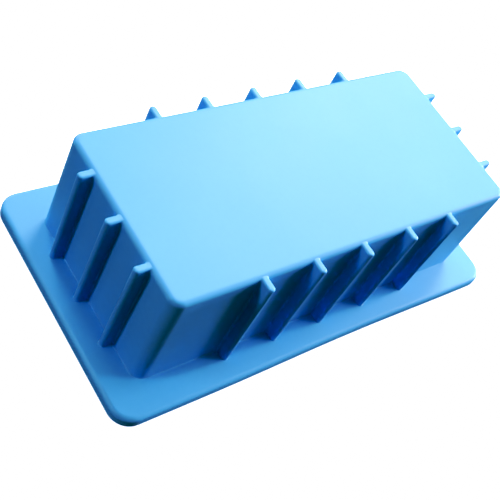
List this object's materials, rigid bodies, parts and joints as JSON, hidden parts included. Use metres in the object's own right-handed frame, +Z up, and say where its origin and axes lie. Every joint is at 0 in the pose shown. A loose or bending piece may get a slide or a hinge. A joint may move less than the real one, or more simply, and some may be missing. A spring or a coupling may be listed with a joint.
{
  "type": "silicone soap mould",
  "caption": "One-piece silicone loaf soap mould with a flat base, upright stiffening ribs on all four walls and a wide rim flange around its rectangular cavity.",
  "frame": {"origin": "centre of the cavity's mouth, in the plane of the rim flange's underside that the mould stands on", "axes": "+X along the loaf's length, +Y across its width, +Z up from the rim to the closed base (the mould is stored upside down, as it is in the picture)"},
  "size_m": [0.244, 0.129, 0.066],
  "materials": {
    "silicone": "satin-matte opaque silicone, sky blue"
  },
  "bodies": {
    "root": {"base_panel": "silicone", "front_wall": "silicone", "rear_wall": "silicone", "left_end_wall": "silicone", "right_end_wall": "silicone", "rim_flange": "silicone", "front_rib_1": "silicone", "front_rib_2": "silicone", "front_rib_3": "silicone", "front_rib_4": "silicone", "front_rib_5": "silicone", "rear_rib_1": "silicone", "rear_rib_2": "silicone", "rear_rib_3": "silicone", "rear_rib_4": "silicone", "rear_rib_5": "silicone", "left_rib_1": "silicone", "left_rib_2": "silicone", "left_rib_3": "silicone", "right_rib_1": "silicone", "right_rib_2": "silicone", "right_rib_3": "silicone"}
  },
  "joints": []
}
